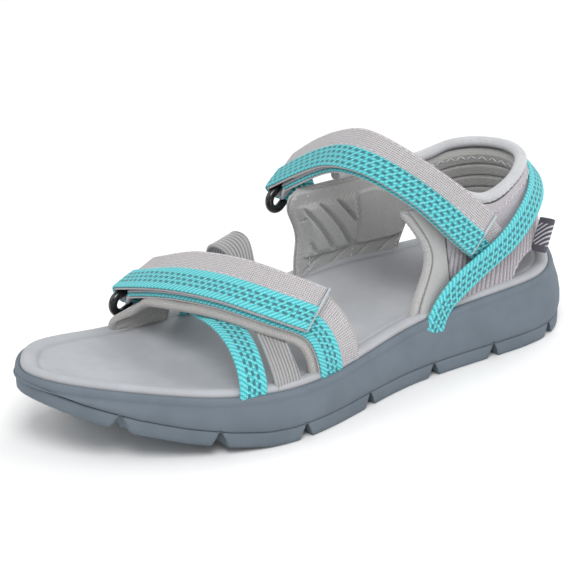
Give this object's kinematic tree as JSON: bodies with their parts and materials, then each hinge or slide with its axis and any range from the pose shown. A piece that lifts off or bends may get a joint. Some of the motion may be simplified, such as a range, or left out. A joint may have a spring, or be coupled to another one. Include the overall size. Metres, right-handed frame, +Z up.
{
  "type": "strappy sport sandal",
  "caption": "Open strappy sport sandal for the left foot, with hook-and-loop instep and toe straps through rings, a padded collar and a thick contoured sole.",
  "frame": {"origin": "on the floor under the sole, on its long axis midway between toe and heel", "axes": "+X to the heel, -Y to the outer side, +Z up"},
  "size_m": [0.2534, 0.0939, 0.0954],
  "materials": {
    "outsole_rubber": "matte, fine grain",
    "midsole_foam": "matte moulded foam",
    "footbed_foam": "matte moulded foam",
    "webbing_grey": "woven",
    "webbing_teal": "woven with dark dashes",
    "tab_end": "heat sealed",
    "hook_tape": "hook tape",
    "loop_tape": "brushed loop",
    "ring": "gloss",
    "elastic": "ribbed elastic",
    "lining": "padded knit",
    "quarter_fabric": "smooth coated fabric",
    "heel_fabric": "ribbed padded fabric",
    "binding": "folded binding",
    "label": "folded woven label"
  },
  "bodies": {
    "shoe": {"collar_binding": "binding", "elastic_strap": "elastic", "footbed": "footbed_foam", "forefoot_lining": "lining", "heel_band": "heel_fabric", "heel_label": "label", "heel_lining": "lining", "inner_quarter_lining": "lining", "inner_quarter_skin": "quarter_fabric", "instep_base_trim": "webbing_teal", "instep_base_webbing": "webbing_grey", "instep_keeper": "webbing_teal", "instep_loop_tape": "loop_tape", "midsole": "midsole_foam", "outer_quarter_lining": "lining", "outer_quarter_skin": "quarter_fabric", "outsole": "outsole_rubber", "side_strap": "webbing_teal", "toe_base_trim": "webbing_teal", "toe_base_webbing": "webbing_grey", "toe_keeper": "webbing_teal", "toe_loop_tape": "loop_tape", "toe_strap": "webbing_teal"},
    "instep_tab": {"instep_hook_tape": "hook_tape", "instep_tab_end": "tab_end", "instep_tab_trim": "webbing_teal", "instep_tab_webbing": "webbing_grey"},
    "instep_ring": {"instep_ring": "ring"},
    "toe_tab": {"toe_hook_tape": "hook_tape", "toe_tab_end": "tab_end", "toe_tab_trim": "webbing_teal", "toe_tab_webbing": "webbing_grey"},
    "toe_ring": {"toe_ring": "ring"}
  },
  "joints": [
    {"name": "toe_ring_swivel", "type": "hinge", "parent": "shoe", "child": "toe_ring", "pos_m": [-0.0497, 0.0406, 0.03188], "axis": [-0.9166, -0.0472, -0.3969], "range_deg": [0, 20]},
    {"name": "toe_tab_open", "type": "hinge", "parent": "toe_ring", "child": "toe_tab", "pos_m": [-0.05274, 0.04022, 0.03895], "axis": [-0.9166, -0.0472, -0.3969], "range_deg": [0, 110]},
    {"name": "instep_ring_swivel", "type": "hinge", "parent": "shoe", "child": "instep_ring", "pos_m": [0.01868, 0.03425, 0.06386], "axis": [-0.7775, -0.0852, -0.6231], "range_deg": [0, 20]},
    {"name": "instep_tab_open", "type": "hinge", "parent": "instep_ring", "child": "instep_tab", "pos_m": [0.01395, 0.03347, 0.06988], "axis": [-0.7775, -0.0852, -0.6231], "range_deg": [0, 110]}
  ]
}
